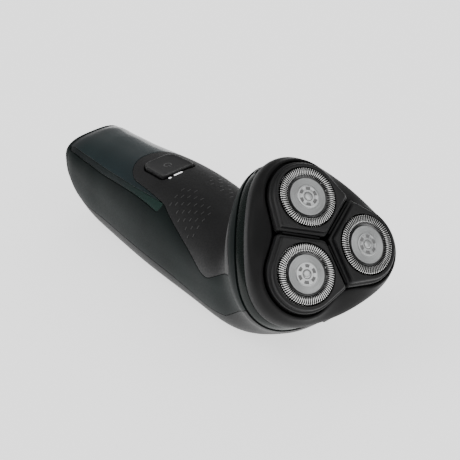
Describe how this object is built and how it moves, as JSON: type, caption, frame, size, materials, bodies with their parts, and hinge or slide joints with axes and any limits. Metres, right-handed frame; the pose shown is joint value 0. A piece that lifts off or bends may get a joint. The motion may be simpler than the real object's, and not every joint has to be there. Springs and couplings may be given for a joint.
{
  "type": "rotary electric shaver",
  "caption": "Cordless rotary shaver with a tilted, lobed floating head on a curved handle with a soft grip, power button and charging socket",
  "frame": {"origin": "middle of the flat strip along the handle's back, which the shaver lies on", "axes": "+X from the handle's tail to the shaving head, +Y across the shaver, +Z out of the front, where the power button is"},
  "size_m": [0.1583, 0.0596, 0.0741],
  "materials": {
    "rear_cover": "satin",
    "tail_cap": "satin",
    "front_panel": "gloss",
    "grip_cover": "soft-touch matte",
    "side_panel_left": "satin metallic",
    "side_panel_right": "satin metallic",
    "collar_ring": "gloss",
    "hinge_pin": "ground",
    "release_button": "gloss",
    "drive_deck": "satin",
    "gear_plate": "moulded",
    "motor_can": "plated",
    "motor_end_cap": "moulded",
    "motor_armature": "copper wound",
    "motor_shaft": "ground",
    "motor_pinion": "cut",
    "head_housing": "satin",
    "retaining_frame": "satin",
    "power_button": "satin",
    "light_guide": "translucent white",
    "chassis": "moulded",
    "battery": "sleeved",
    "battery_contacts": "nickel plated",
    "circuit_board": "solder mask",
    "push_switch": "moulded",
    "charge_socket": "satin",
    "socket_pins": "plated",
    "case_screws": "zinc plated",
    "deck_screws": "zinc plated",
    "motor_screws": "zinc plated",
    "spindle_seal_1": "matte",
    "drive_gear_1": "moulded",
    "drive_spindle_1": "moulded",
    "shaving_pad_1": "satin",
    "pad_pivot_pins_1": "ground",
    "guard_1": "turned",
    "guard_insert_1": "polished",
    "cutter_1": "ground",
    "spindle_seal_2": "matte",
    "drive_gear_2": "moulded",
    "drive_spindle_2": "moulded",
    "shaving_pad_2": "satin",
    "pad_pivot_pins_2": "ground",
    "guard_2": "turned",
    "guard_insert_2": "polished",
    "cutter_2": "ground",
    "spindle_seal_3": "matte",
    "drive_gear_3": "moulded",
    "drive_spindle_3": "moulded",
    "shaving_pad_3": "satin",
    "pad_pivot_pins_3": "ground",
    "guard_3": "turned",
    "guard_insert_3": "polished",
    "cutter_3": "ground"
  },
  "bodies": {
    "handle": {"rear_cover": "rear_cover", "tail_cap": "tail_cap", "front_panel": "front_panel", "grip_cover": "grip_cover", "side_panel_left": "side_panel_left", "side_panel_right": "side_panel_right", "collar_ring": "collar_ring", "hinge_pin": "hinge_pin", "drive_deck": "drive_deck", "spindle_seal_1": "spindle_seal_1", "spindle_seal_2": "spindle_seal_2", "spindle_seal_3": "spindle_seal_3", "gear_plate": "gear_plate", "motor_can": "motor_can", "motor_end_cap": "motor_end_cap", "light_guide": "light_guide", "chassis": "chassis", "battery": "battery", "battery_contacts": "battery_contacts", "circuit_board": "circuit_board", "push_switch": "push_switch", "charge_socket": "charge_socket", "socket_pins": "socket_pins", "case_screws": "case_screws", "deck_screws": "deck_screws", "motor_screws": "motor_screws"},
    "power_button": {"power_button": "power_button"},
    "release_button": {"release_button": "release_button"},
    "rotor": {"motor_armature": "motor_armature", "motor_shaft": "motor_shaft", "motor_pinion": "motor_pinion"},
    "drive_1": {"drive_gear_1": "drive_gear_1", "drive_spindle_1": "drive_spindle_1"},
    "drive_2": {"drive_gear_2": "drive_gear_2", "drive_spindle_2": "drive_spindle_2"},
    "drive_3": {"drive_gear_3": "drive_gear_3", "drive_spindle_3": "drive_spindle_3"},
    "shaving_unit": {"head_housing": "head_housing", "retaining_frame": "retaining_frame"},
    "pad_1": {"shaving_pad_1": "shaving_pad_1", "pad_pivot_pins_1": "pad_pivot_pins_1", "guard_1": "guard_1", "guard_insert_1": "guard_insert_1"},
    "pad_2": {"shaving_pad_2": "shaving_pad_2", "pad_pivot_pins_2": "pad_pivot_pins_2", "guard_2": "guard_2", "guard_insert_2": "guard_insert_2"},
    "pad_3": {"shaving_pad_3": "shaving_pad_3", "pad_pivot_pins_3": "pad_pivot_pins_3", "guard_3": "guard_3", "guard_insert_3": "guard_insert_3"},
    "cutter_1": {"cutter_1": "cutter_1"},
    "cutter_2": {"cutter_2": "cutter_2"},
    "cutter_3": {"cutter_3": "cutter_3"}
  },
  "joints": [
    {"name": "power_button_press", "type": "slide", "parent": "handle", "child": "power_button", "axis": [0.0993, 0, -0.9951], "range_m": [0, 0.0008], "stiffness_N_per_m": 2200, "springref_m": -0.0005},
    {"name": "release_button_press", "type": "slide", "parent": "handle", "child": "release_button", "axis": [0.6428, 0, -0.766], "range_m": [0, 0.0012], "stiffness_N_per_m": 2000, "springref_m": -0.0006},
    {"name": "motor_spin", "type": "hinge", "parent": "handle", "child": "rotor", "pos_m": [0.03969, 0, 0.0315], "axis": [0.766, 0, 0.6428], "continuous": true},
    {"name": "drive_1_spin", "type": "hinge", "parent": "handle", "child": "drive_1", "pos_m": [0.04029, 0, 0.05101], "axis": [0.766, 0, 0.6428], "continuous": true},
    {"name": "drive_2_spin", "type": "hinge", "parent": "handle", "child": "drive_2", "pos_m": [0.05433, -0.01261, 0.03428], "axis": [0.766, 0, 0.6428], "continuous": true},
    {"name": "drive_3_spin", "type": "hinge", "parent": "handle", "child": "drive_3", "pos_m": [0.05433, 0.01261, 0.03428], "axis": [0.766, 0, 0.6428], "continuous": true},
    {"name": "head_open", "type": "hinge", "parent": "handle", "child": "shaving_unit", "pos_m": [0.07028, 0, 0.02545], "axis": [0, 1, 0], "range_deg": [0, 70]},
    {"name": "pad_1_tilt", "type": "hinge", "parent": "shaving_unit", "child": "pad_1", "pos_m": [0.05185, 0, 0.06124], "axis": [0, -1, 0], "range_deg": [-2.5, 2.5], "stiffness_Nm_per_rad": 0.3},
    {"name": "pad_2_tilt", "type": "hinge", "parent": "shaving_unit", "child": "pad_2", "pos_m": [0.06628, -0.01296, 0.04404], "axis": [0.5567, 0.5, -0.6634], "range_deg": [-2.5, 2.5], "stiffness_Nm_per_rad": 0.3},
    {"name": "pad_3_tilt", "type": "hinge", "parent": "shaving_unit", "child": "pad_3", "pos_m": [0.06628, 0.01296, 0.04404], "axis": [-0.5567, 0.5, 0.6634], "range_deg": [-2.5, 2.5], "stiffness_Nm_per_rad": 0.3},
    {"name": "cutter_1_spin", "type": "hinge", "parent": "pad_1", "child": "cutter_1", "pos_m": [0.05367, 0, 0.0631], "axis": [0.7009, 0, 0.7133], "continuous": true},
    {"name": "cutter_2_spin", "type": "hinge", "parent": "pad_2", "child": "cutter_2", "pos_m": [0.06834, -0.01318, 0.04561], "axis": [0.7933, -0.083, 0.6031], "continuous": true},
    {"name": "cutter_3_spin", "type": "hinge", "parent": "pad_3", "child": "cutter_3", "pos_m": [0.06834, 0.01318, 0.04561], "axis": [0.7933, 0.083, 0.6031], "continuous": true}
  ],
  "couplings": [
    {"joint": "drive_1_spin", "follows": "motor_spin", "ratio": -0.44444},
    {"joint": "drive_2_spin", "follows": "motor_spin", "ratio": -0.44444},
    {"joint": "drive_3_spin", "follows": "motor_spin", "ratio": -0.44444},
    {"joint": "cutter_1_spin", "follows": "motor_spin", "ratio": -0.44444},
    {"joint": "cutter_2_spin", "follows": "motor_spin", "ratio": -0.44444},
    {"joint": "cutter_3_spin", "follows": "motor_spin", "ratio": -0.44444}
  ]
}
